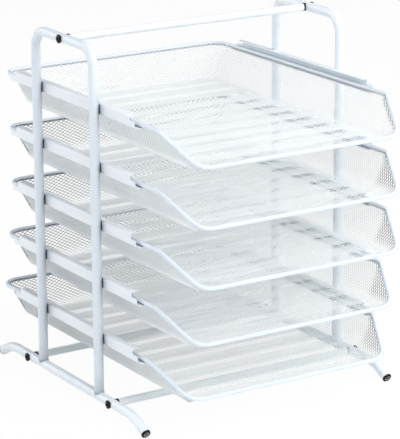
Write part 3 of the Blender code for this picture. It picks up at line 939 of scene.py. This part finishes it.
@dataclass
class RailSet:
    """The ten channel rails, bent from sheet and stepped down at both ends."""

    tube: TubeFrame
    sheet: float = 1 * MM
    height: float = 12 * MM
    top_flange: float = 7 * MM
    bottom_flange: float = 9 * MM
    front: float = 127 * MM
    rear: float = 129 * MM
    front_setback: float = 10 * MM
    rear_setback: float = 12 * MM
    tab: float = 6.5 * MM
    lip: float = 5 * MM
    bend: float = 1.3 * MM
    edge: float = 0.15 * MM
    gap: float = 0.3 * MM

    def build(self) -> None:
        """Model the rail once and fit a copy at each place."""
        rail = self.rail()
        for tier in range(1, TIERS + 1):
            for side in Side:
                node = f"rail_{tier}_{side.label}"
                low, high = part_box(node)
                place = Matrix.Translation((0, self.tube.middle_y, (low.z + high.z) / 2))
                coat = SHEET_COAT
                if side is Side.RIGHT:
                    place = place @ Matrix.Scale(-1, 4, (1, 0, 0))
                    # Painted light: the right rails' channels get the lighter coat
                    coat = RIGHT_SHEET_COAT
                fit(copied(rail, f"{node}_channel", place), "frame", node, coat)
        discard(rail)

    def rail(self) -> Piece:
        """Model the left rail, about the middle of the frame and its own mid height.

        Returns:
            The rail.
        """
        web_x = -(self.tube.half_width - self.tube.tube_radius - self.gap - self.sheet / 2)
        tall = self.height - self.sheet
        long = self.front + self.lip + self.rear
        rail = new_piece("rail", bpy.ops.mesh.primitive_plane_add, size=1,
                         rotation=(0, math.pi / 2, 0))
        rail.data.transform(Matrix.Translation((web_x, (self.rear - self.front - self.lip) / 2, 0))
                            @ Matrix.Diagonal((1, long, tall, 1)))
        with editing(rail, Pick.EDGES):
            for sign, flange in ((1, self.top_flange), (-1, self.bottom_flange)):
                select_where(rail, Pick.EDGES,
                             lambda edge, middle: middle.z * sign > tall / 2 - TINY)
                bpy.ops.mesh.extrude_edges_move(
                    TRANSFORM_OT_translate={"value": (flange - self.sheet / 2, 0, 0)})
            select_where(rail, Pick.EDGES, lambda edge, middle: len(edge.link_faces) == 2)
            bpy.ops.mesh.bevel(offset=self.bend, segments=4, affect="EDGES")
            self._cut_ends(rail)
        face_outwards(rail)
        apply_modifier(rail, "SOLIDIFY", thickness=self.sheet, offset=0.0, use_even_offset=True)
        apply_modifier(rail, "BEVEL", width=self.edge, segments=2, limit_method="ANGLE",
                       angle_limit=math.radians(50))
        smooth(rail)
        return rail

    def _cut_ends(self, rail: Piece) -> None:
        """Cut the steps at both ends of a rail.

        Args:
            rail: Rail in edit mode.
        """
        step = self.tab - self.height / 2
        front_step = self.front_setback - self.front
        rear_step = self.rear - self.rear_setback
        for point, normal in (((0, -self.front, 0), (0, 1, 0)), ((0, front_step, 0), (0, 1, 0)),
                              ((0, rear_step, 0), (0, 1, 0)), ((0, 0, step), (0, 0, 1))):
            bpy.ops.mesh.select_all(action="SELECT")
            bpy.ops.mesh.bisect(plane_co=point, plane_no=normal)
        floor = self.sheet - self.height / 2
        select_where(rail, Pick.FACES, lambda face, middle:
                     (middle.y < -self.front and middle.z > floor)
                     or (middle.z > step and (middle.y < front_step or middle.y > rear_step)))
        bpy.ops.mesh.delete(type="FACE")


@dataclass
class Tray:
    """A letter tray: a wire rim that carries a pressed basket of expanded mesh."""

    wire_radius: float = 2.25 * MM
    rim_width: float = 273 * MM
    rim_length: float = 314.5 * MM
    lip_width: float = 235 * MM
    run: float = 46.4 * MM
    drop: float = 30.5 * MM
    rear_corner: float = 18 * MM
    front_bend: float = 15 * MM
    lip_corner: float = 20 * MM
    depth: float = 35 * MM
    floor_width: float = 233 * MM
    lap: float = 0.35 * MM
    # Shares of the wire's radius: how far under its axis and behind it the mesh meets the wire
    under_wire: float = 0.3
    behind_lip: float = 0.6
    rear_flare: float = 9 * MM
    rounding: float = 8 * MM
    corner: float = 15 * MM
    corner_draw: float = 0.6
    corner_cuts: int = 3
    turn_up: float = 8 * MM
    rib_pitch: float = 32 * MM
    rib_width: float = 16 * MM
    rib_top: float = 8 * MM
    rib_height: float = 2 * MM
    rib_end: float = 6 * MM
    first_rib: float = -13 * MM
    ribs: int = 10
    diamond_long: float = 6.1 * MM
    diamond_short: float = 3.45 * MM
    strand: float = 0.62 * MM
    gauge: float = 0.62 * MM
    # Painted shade of the side walls, of their right front ends, of the rear wall and of the lowest
    # floor
    side_share: float = 0.25
    end_share: float = 1.3
    rear_share: float = 0.75
    bottom_share: float = 0.13
    # Strength of the painted shade that the top tray keeps on its left wall
    top_gain: float = 1.6
    # Share of its offset from the wire that a point standing out of the wire keeps
    tuck_share: float = 0.15
    # Bands along the wire whose strands get painted shade, on the level tops and the slant, the
    # shade's gain on the slant and the height where the bands may start
    edge_band: float = 2.2 * MM
    slant_band: float = 5.2 * MM
    slant_gain: float = 6.0
    edge_floor: float = 9 * MM
    wire_sides: int = 20
    # Points that stand for the lip's bend, each stretch of the front wire and a side wall's section
    bend_points: int = 13
    wire_points: int = 40
    wall_points: int = 200

    def build(self) -> None:
        """Model one rim and one basket, and fit copies to each tier."""
        rim = self.rim()
        basket = self.basket()
        highs = {f"tray_{tier}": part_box(f"tray_{tier}_rim")[1] for tier in range(1, TIERS + 1)}
        heights = [high.z for high in highs.values()]
        for body, high in highs.items():
            place = Matrix.Translation((0, high.y - self.rim_length - self.wire_radius,
                                        high.z - self.wire_radius))
            wire = copied(rim, f"{body}_wire", place)
            mesh = copied(basket, f"{body}_mesh", place)
            if high.z == max(heights):
                self._open_top(mesh, wire)
            elif high.z == min(heights):
                self._close_bottom(mesh)
            fit(wire, body, f"{body}_rim", WIRE_COAT)
            fit(mesh, body, f"{body}_basket", MESH_COAT)
        discard(rim, basket)

    def rim(self) -> Piece:
        """Model the rim: level at the sides and rear, slanting down to a lip at the front.

        Returns:
            The rim, with its origin on its axis between the two front bends.
        """
        side = self.rim_width / 2
        lip = self.lip_width / 2
        wire = BentTube("rim", Vector((0, self.rim_length, 0)), Vector((-1, 0, 0)),
                        self.wire_radius, self.wire_sides)
        left = wire.follow([(Vector((-side, self.rim_length, 0)), self.rear_corner),
                            (Vector((-side, 0, 0)), self.front_bend),
                            (Vector((-lip, -self.run, -self.drop)), self.lip_corner),
                            (Vector((0, -self.run, -self.drop)), 0.0)])
        rim = mirrored_tube(left, 0, None)
        x, y, z = corners_of(rim).T
        # The rear's painted shade begins two bend radii before it, and is full one radius before it
        rear = np.clip((y - self.rim_length) / self.rear_corner + 2, 0, 1)
        rise = np.clip((z + self.drop) / self.rounding, 0, 1)
        slant = np.clip(-y / self.front_bend, 0, 1) * rise * (x > 0)
        set_marks(rim, SHADED_WIRE, np.maximum(rear, slant * self.slant_gain))
        return rim

    def _open_top(self, mesh: Piece, wire: Piece) -> None:
        """Leave a tray with no other above it the painted shade on its left wall and on its wire's
        slant.

        Args:
            mesh: Its basket.
            wire: Its rim.
        """
        y = corners_of(wire)[:, 1]
        set_marks(wire, SHADED_WIRE, marks_of(wire, SHADED_WIRE) * (y < y.mean()))
        shade = marks_of(mesh, SHADED_WALLS)
        shade[(shade > self.side_share) | (corners_of(mesh)[:, 0] > 0)] = 0
        set_marks(mesh, SHADED_WALLS, shade * self.top_gain)

    def _close_bottom(self, mesh: Piece) -> None:
        """Put painted shade on the floor of the lowest basket too, which the desk would light from
        below.
        """
        shade = marks_of(mesh, SHADED_WALLS)
        set_marks(mesh, SHADED_WALLS, np.maximum(shade, np.float32(self.bottom_share)))

    @property
    def side_tuck(self) -> float:
        """Half width of the basket at the rim, where its walls lap the inner side of the wire."""
        return self.rim_width / 2 - self.wire_radius - self.lap

    @property
    def rear_tuck(self) -> float:
        """Where the basket's rear wall laps the inner side of the wire."""
        return self.rim_length - self.wire_radius - self.lap

    @property
    def front_y(self) -> float:
        """Where the floor's front edge meets the lip."""
        return -self.run + self.wire_radius * self.behind_lip

    @property
    def lip_lift(self) -> float:
        """Height of the floor's front edge above the floor."""
        return self.depth - self.drop - self.wire_radius * self.under_wire

    @property
    def side_angle(self) -> float:
        """Slope of the side walls."""
        return math.atan2(self.depth, self.side_tuck - self.floor_width / 2)

    @property
    def rear_angle(self) -> float:
        """Slope of the rear wall."""
        return math.atan2(self.depth, self.rear_flare)

    def profile(self, along: np.ndarray, flat: float,
                slope: float) -> tuple[np.ndarray, np.ndarray]:
        """Fold a distance along the sheet from a flat floor round its edge and up a wall.

        Args:
            along: Distances along the sheet from the middle of the floor.
            flat: Distance at which the floor's edge starts to round.
            slope: Slope of the wall.

        Returns:
            Distances across and heights, from the floor.
        """
        bend = np.clip((along - flat) / self.rounding, 0, slope)
        rise = np.clip(along - flat - self.rounding * slope, 0, None)
        across = np.minimum(along, flat) + self.rounding * np.sin(bend) + rise * math.cos(slope)
        height = self.rounding * (1 - np.cos(bend)) + rise * math.sin(slope)
        return across, height

    def wall_length(self, slope: float) -> float:
        """Length of the sheet from the floor's rounded edge to the top of a wall."""
        bent = self.rounding * (1 - math.cos(slope))
        return self.rounding * slope + (self.depth - bent) / math.sin(slope)

    @property
    def side_flat(self) -> float:
        """Half width of the floor's flat."""
        return self.floor_width / 2 - self.rounding * math.tan(self.side_angle / 2)

    @property
    def rear_flat(self) -> float:
        """Rear end of the floor's flat."""
        return self.rear_tuck - self.rear_flare - self.rounding * math.tan(self.rear_angle / 2)

    def blank(self) -> Piece:
        """Model the basket's flat blank: one sheet of diamonds for the floor and the three walls.

        Returns:
            The blank in the XY plane, cut to its outline.
        """
        half = self.side_flat + self.wall_length(self.side_angle)
        columns = 2 * round(half / self.diamond_long)
        floor_rows = round((self.rear_flat - self.front_y) / self.diamond_short)
        row = (self.rear_flat - self.front_y) / floor_rows
        rows = floor_rows + math.ceil(self.wall_length(self.rear_angle) / row)
        sheet = new_piece("basket", bpy.ops.mesh.primitive_grid_add, x_subdivisions=columns,
                          y_subdivisions=rows, size=1)
        sheet.data.transform(Matrix.Translation((0, self.front_y + row * rows / 2, 0))
                             @ Matrix.Diagonal((2 * half, row * rows, 1, 1)))
        with editing(sheet, Pick.FACES):
            bpy.ops.mesh.poke()
            select_where(sheet, Pick.EDGES, lambda edge, middle: len(edge.link_faces) == 2 and min(
                abs(edge.verts[0].co.x - edge.verts[1].co.x),
                abs(edge.verts[0].co.y - edge.verts[1].co.y)) < TINY)
            bpy.ops.mesh.dissolve_edges(use_verts=False, use_face_split=False)
            self._trim(sheet)
            bpy.ops.mesh.select_all(action="SELECT")
            bpy.ops.mesh.remove_doubles(threshold=self.strand / 4)
        return sheet

    def _trim(self, sheet: Piece) -> None:
        """Cut the blank to the rear wall's top, the corner seams and the slanted front ends.

        Args:
            sheet: Blank in edit mode.
        """
        flat = self.side_flat
        rear = self.rear_flat
        radius = self.corner_radius(0.0)
        side_wall = self.wall_length(self.side_angle)
        rear_wall = self.wall_length(self.rear_angle)
        reach = self.rear_reach(0.0)
        spread = self.rear_reach(self.depth) - reach
        seam_rise = self.rear_tuck - self.corner - (rear - radius)
        slant_start = (self.under_wire * self.wire_radius * math.hypot(self.run, self.drop)
                       / self.drop)
        trim(sheet, lambda middle: middle.y > rear, Vector((0, rear + rear_wall, 0)),
             Vector((0, 1, 0)))
        for side in Side:
            sign = side.value
            corner = Vector((sign * (flat - radius), rear - radius, 0))
            wall_top = Vector((sign * (flat + side_wall), slant_start, 0))
            trim(sheet, lambda middle: middle.x * sign > flat - radius, Vector((0, rear, 0)),
                 Vector((0, 1, 0)), remove=False)
            trim(sheet, lambda middle: middle.y > rear, Vector((sign * reach, rear, 0)),
                 Vector((sign * rear_wall, -spread, 0)))
            trim(sheet, lambda middle: middle.y < rear and middle.x * sign > flat,
                 Vector((sign * flat, rear - radius, 0)), Vector((-sign * seam_rise, side_wall, 0)))
            trim(sheet, lambda middle: middle.y < slant_start and middle.x * sign > flat, wall_top,
                 Vector((sign * self.run * math.sin(self.side_angle), -self.drop, 0)))
            for step in range(1, self.corner_cuts + 1):
                turn = step * math.pi / 2 / (self.corner_cuts + 1)
                out = Vector((sign * math.cos(turn), math.sin(turn), 0))
                trim(sheet, lambda middle: rear - radius < middle.y < rear
                     and flat - radius < middle.x * sign < flat, corner + out * radius, out)

    def basket(self) -> Piece:
        """Model the basket: a blank of diamonds drawn as strands, then folded up and pressed.

        Returns:
            The basket, in the rim's place.
        """
        sheet = self.blank()
        apply_modifier(sheet, "WIREFRAME", thickness=self.strand, use_even_offset=True,
                       use_replace=True, use_boundary=True, offset=0.0)
        sheet.data.transform(Matrix.Diagonal((1, 1, self.gauge / self.strand, 1)))
        flat = corners_of(sheet)
        folded = self._fold_floor(flat)
        rear = flat[:, 1] > self.rear_flat - TINY
        folded[rear] = self._fold_rear(flat[rear])
        self._tuck_front(folded)
        set_corners(sheet, folded)
        self._mark_walls(sheet, flat, folded[:, 2] + self.depth)
        smooth(sheet, Shading.ROUND)
        return sheet

    def front_wire(self) -> np.ndarray:
        """Follow the axis of the rim's right front, from the middle of the lip to the level side.

        Returns:
            Points along the axis.
        """
        corner = np.array([self.lip_width / 2, -self.run, -self.drop])
        side = np.array([self.rim_width / 2, 0, 0])
        level = np.array([-1.0, 0, 0])
        slant = (side - corner) / np.linalg.norm(side - corner)
        turn = math.pi - math.acos(level @ slant)
        tangent = self.lip_corner * math.tan(turn / 2)
        middle = (level + slant) / np.linalg.norm(level + slant)
        centre = corner + middle * self.lip_corner / math.cos(turn / 2)
        spoke = corner + level * tangent - centre
        angles = np.linspace(0, turn, self.bend_points)[:, None]
        arc = centre + spoke * np.cos(angles) - level * self.lip_corner * np.sin(angles)
        return np.vstack([[0, -self.run, -self.drop], arc, side])

    def _tuck_front(self, points: np.ndarray) -> None:
        """Lift the floor to the lip along its bends, and move ends that stand out into the wire.

        Args:
            points: Points of the folded basket, changed in place.
        """
        wire = self.front_wire()
        steps = np.vstack([np.linspace(start, end, self.wire_points)[:-1]
                           for start, end in zip(wire[:-1], wire[1:])])
        ahead = np.gradient(steps[:, :2], axis=0)
        ahead /= np.linalg.norm(ahead, axis=1)[:, None]
        front = np.flatnonzero(points[:, 1] < 0)
        plan = np.column_stack([np.abs(points[front, 0]), points[front, 1]])
        nearest = np.array([np.argmin(((steps[:, :2] - spot) ** 2).sum(1)) for spot in plan])
        off = plan - steps[nearest, :2]
        past = off[:, 0] * ahead[nearest, 1] - off[:, 1] * ahead[nearest, 0]
        lift = self.lip_lift * np.clip(1 + past / self.turn_up, 0, 1)
        low = steps[nearest, 2] < self.wire_radius - self.drop
        points[front[low], 2] = np.maximum(points[front[low], 2], lift[low] - self.depth)
        outside = past > -self.lap
        target = steps[nearest[outside]].copy()
        target[:, 0] *= np.sign(points[front[outside], 0])
        points[front[outside]] = target + (points[front[outside]] - target) * self.tuck_share

    def _mark_walls(self, sheet: Piece, flat: np.ndarray, height: np.ndarray) -> None:
        """Mark the strands that get painted shade: those of the walls, and those along the wire at
        the walls' tops.

        Args:
            sheet: The folded basket.
            flat: Points of its flat blank.
            height: Their heights above the floor once folded.
        """
        x, y = flat[:, 0], flat[:, 1]
        share = np.full(len(flat), self.side_share)
        share[x > 0] += (self.end_share - self.side_share) * np.clip(-y[x > 0] / self.turn_up, 0, 1)
        share[y > self.rear_flat] = self.rear_share
        share *= np.clip((height - self.rib_height) / self.rounding, 0, 1)
        top = self.depth + np.minimum(y, 0) * self.drop / self.run
        slant = (y < 0) & (x > 0)
        band = np.where(slant, self.slant_band, self.edge_band)
        near = (height > top - band) & (height > self.edge_floor)
        set_marks(sheet, SHADED_WALLS, share)
        set_marks(sheet, WIRE_EDGES, np.where(slant, self.slant_gain, 1.0) * near)

    def corner_radius(self, height: np.ndarray | float) -> np.ndarray | float:
        """Radius of the basket's rear corners, at a height above the floor."""
        return self.corner - self.rounding * self.corner_draw * (1 - height / self.depth)

    def rear_reach(self, height: float) -> float:
        """Measure the rear wall's sheet from its middle to its seam with a side wall.

        Args:
            height: Height above the floor.

        Returns:
            Length of the sheet at that height.
        """
        flare = self.side_tuck - self.floor_width / 2
        half_width = self.floor_width / 2 + flare * height / self.depth
        radius = self.corner_radius(height)
        return half_width - radius + radius * math.pi / 2

    def _fold_floor(self, flat: np.ndarray) -> np.ndarray:
        """Fold the side walls up, press the ribs and turn the front edge up to the lip.

        Args:
            flat: Points of the flat blank.

        Returns:
            The points in the folded basket.
        """
        along = np.abs(flat[:, 0])
        y = flat[:, 1]
        across, height = self.profile(along, self.side_flat, self.side_angle)
        height = height + self.rib_relief(along, y)
        turned = np.clip((self.front_y + self.turn_up - y) / self.turn_up, 0, 1)
        height = np.maximum(height, self.lip_lift * turned)
        bend = np.clip((along - self.side_flat) / self.rounding, 0, self.side_angle)
        across = across - flat[:, 2] * np.sin(bend)
        height = height + flat[:, 2] * np.cos(bend)
        return np.column_stack([np.sign(flat[:, 0]) * across, y, height - self.depth])

    def rib_relief(self, along: np.ndarray, y: np.ndarray) -> np.ndarray:
        """Height of the ribs that are pressed across the floor.

        Args:
            along: Distances from the floor's middle line.
            y: Distances to the rear.

        Returns:
            Height of the ribs above the floor at each point.
        """
        index = np.clip(np.round((y - self.first_rib) / self.rib_pitch), 0, self.ribs - 1)
        off = np.abs(y - self.first_rib - index * self.rib_pitch)
        slope = (self.rib_width - self.rib_top) / 2
        across = np.clip((self.rib_width / 2 - off) / slope, 0, 1)
        ends = np.clip((self.side_flat - along) / self.rib_end, 0, 1)
        return self.rib_height * across * ends

    def _fold_rear(self, flat: np.ndarray) -> np.ndarray:
        """Fold the rear wall up and round its ends to meet the side walls.

        Args:
            flat: Points of the flat blank behind the floor.

        Returns:
            The points in the folded basket.
        """
        along = np.abs(flat[:, 0])
        across, height = self.profile(flat[:, 1], self.rear_flat, self.rear_angle)
        radius = self.corner_radius(height)
        straight = self.half_width_at(height) - radius
        turn = np.clip((along - straight) / radius, 0, math.pi / 2)
        bend = np.clip((flat[:, 1] - self.rear_flat) / self.rounding, 0, self.rear_angle)
        inset = radius - flat[:, 2] * np.sin(bend)
        x = np.minimum(along, straight) + inset * np.sin(turn)
        y = across - radius + inset * np.cos(turn)
        height = height + flat[:, 2] * np.cos(bend)
        return np.column_stack([np.sign(flat[:, 0]) * x, y, height - self.depth])

    def half_width_at(self, height: np.ndarray) -> np.ndarray:
        """Measure half the width between the basket's side walls.

        Args:
            height: Heights above the floor.

        Returns:
            Half width at each height.
        """
        top = self.side_flat + self.wall_length(self.side_angle)
        steps = np.linspace(self.side_flat, top, self.wall_points)
        across, heights = self.profile(steps, self.side_flat, self.side_angle)
        return np.interp(height, heights, across)


@dataclass
class Studio:
    """Floor, light and camera of the picture."""

    target: Vector = field(default_factory=lambda: Vector((7.88, 17.37, 162.27)) * MM)
    distance: float = 2497.78 * MM
    yaw: float = math.radians(-32.092)
    pitch: float = math.radians(16.201)
    roll: float = math.radians(-0.387)
    focal_pixels: float = 2357.7
    picture: tuple[int, int] = (400, 439)
    principal: tuple[float, float] = (197.1, 221.3)
    floor_size: float = 14.0
    floor_colour: str = "#F8FAFB"
    floor_glow: float = 0.94
    floor_roughness: float = 0.9
    ambient: float = 0.05
    ambient_colour: str = "#EEF4FB"
    clip: tuple[float, float] = (0.05, 50.0)

    def build(self) -> None:
        """Set up the whole studio."""
        bpy.context.scene.view_settings.view_transform = "Standard"
        self.floor()
        self.world()
        self.lamps()
        self.camera()

    def floor(self) -> None:
        """Lay a pale floor that the camera sees as white where no shadow falls."""
        floor = new_piece("floor", bpy.ops.mesh.primitive_plane_add, size=self.floor_size)
        paint = bpy.data.materials.new("pale_studio_floor")
        paint.use_nodes = True
        tree = paint.node_tree
        shader = tree.nodes["Principled BSDF"]
        shader.inputs["Base Color"].default_value = linear_colour(self.floor_colour)
        shader.inputs["Roughness"].default_value = self.floor_roughness
        shader.inputs["Specular IOR Level"].default_value = 0.0
        light = add_node(tree, "ShaderNodeEmission", None, {"Strength": 1.0})
        path = add_node(tree, "ShaderNodeLightPath").outputs
        seen = add_node(tree, "ShaderNodeMath", {"operation": "MAXIMUM"},
                        {0: path["Is Camera Ray"], 1: path["Is Glossy Ray"]})
        share = add_node(tree, "ShaderNodeMath", {"operation": "MULTIPLY"},
                         {0: seen.outputs[0], 1: self.floor_glow})
        mix = add_node(tree, "ShaderNodeMixShader", None,
                       {0: share.outputs[0], 1: shader.outputs[0], 2: light.outputs[0]})
        tree.links.new(mix.outputs[0], tree.nodes["Material Output"].inputs["Surface"])
        floor.data.materials.append(paint)

    def world(self) -> None:
        """Surround the organizer with an even pale light that the camera sees as white."""
        world = bpy.data.worlds.new("studio")
        bpy.context.scene.world = world
        world.use_nodes = True
        tree = world.node_tree
        dim = tree.nodes["Background"]
        dim.inputs["Color"].default_value = linear_colour(self.ambient_colour)
        dim.inputs["Strength"].default_value = self.ambient
        white = add_node(tree, "ShaderNodeBackground", None,
                         {"Color": (1, 1, 1, 1), "Strength": 1.0})
        path = add_node(tree, "ShaderNodeLightPath").outputs
        mix = add_node(tree, "ShaderNodeMixShader", None,
                       {0: path["Is Camera Ray"], 1: dim.outputs[0], 2: white.outputs[0]})
        tree.links.new(mix.outputs[0], tree.nodes["World Output"].inputs["Surface"])

    def lamps(self) -> None:
        """Hang soft lamps overhead and all round, the strongest high in front."""
        self.lamp("overhead", Vector((0, 0, 2.6)), (2.4, 2.4), 11.0)
        self.lamp("front_high", Vector((0.1, -1.7, 2.1)), (2.0, 1.6), 41.0)
        self.lamp("front", Vector((0.2, -2.4, 1.0)), (2.4, 1.6), 22.0)
        self.lamp("right", Vector((1.9, -0.2, 1.8)), (2.4, 1.6), 31.0)
        self.lamp("left", Vector((-2.4, 0.0, 0.9)), (2.2, 1.4), 11.0)
        self.lamp("rear_left", Vector((-1.6, 2.0, 1.1)), (2.4, 1.6), 38.0)

    def lamp(self, name: str, place: Vector, size: tuple[float, float], power: float) -> None:
        """Hang a rectangular lamp that points at the organizer.

        Args:
            name: Name of the lamp.
            place: Where it hangs.
            size: Its width and height.
            power: Power in watts.
        """
        data = bpy.data.lights.new(name, "AREA")
        data.shape = "RECTANGLE"
        data.size, data.size_y = size
        data.energy = power
        lamp = bpy.data.objects.new(name, data)
        bpy.context.scene.collection.objects.link(lamp)
        lamp.location = place
        lamp.rotation_euler = (self.target - place).to_track_quat("-Z", "Y").to_euler()

    def camera(self) -> None:
        """Place the camera where the photograph was taken from."""
        back = Vector((math.sin(self.yaw) * math.cos(self.pitch),
                       -math.cos(self.yaw) * math.cos(self.pitch), math.sin(self.pitch)))
        level = Vector((math.cos(self.yaw), math.sin(self.yaw), 0))
        rise = back.cross(level)
        right = level * math.cos(self.roll) + rise * math.sin(self.roll)
        up = rise * math.cos(self.roll) - level * math.sin(self.roll)
        data = bpy.data.cameras.new("camera")
        camera = bpy.data.objects.new("camera", data)
        bpy.context.scene.collection.objects.link(camera)
        turn = Matrix((right, up, back)).transposed().to_4x4()
        camera.matrix_world = Matrix.Translation(self.target + back * self.distance) @ turn
        wide, tall = self.picture
        data.lens = self.focal_pixels * data.sensor_width / tall
        data.shift_x = (wide / 2 - self.principal[0]) / tall
        data.shift_y = (self.principal[1] - tall / 2) / tall
        data.clip_start, data.clip_end = self.clip
        bpy.context.scene.camera = camera


def main() -> None:
    """Build the organizer's pieces in order, then the studio."""
    logging.basicConfig(level=logging.INFO, format="%(message)s")
    tube = TubeFrame()
    tube.build()
    CrossbarSet(tube).build()
    RailSet(tube).build()
    Tray().build()
    Studio().build()


if __name__ == "__main__":
    main()
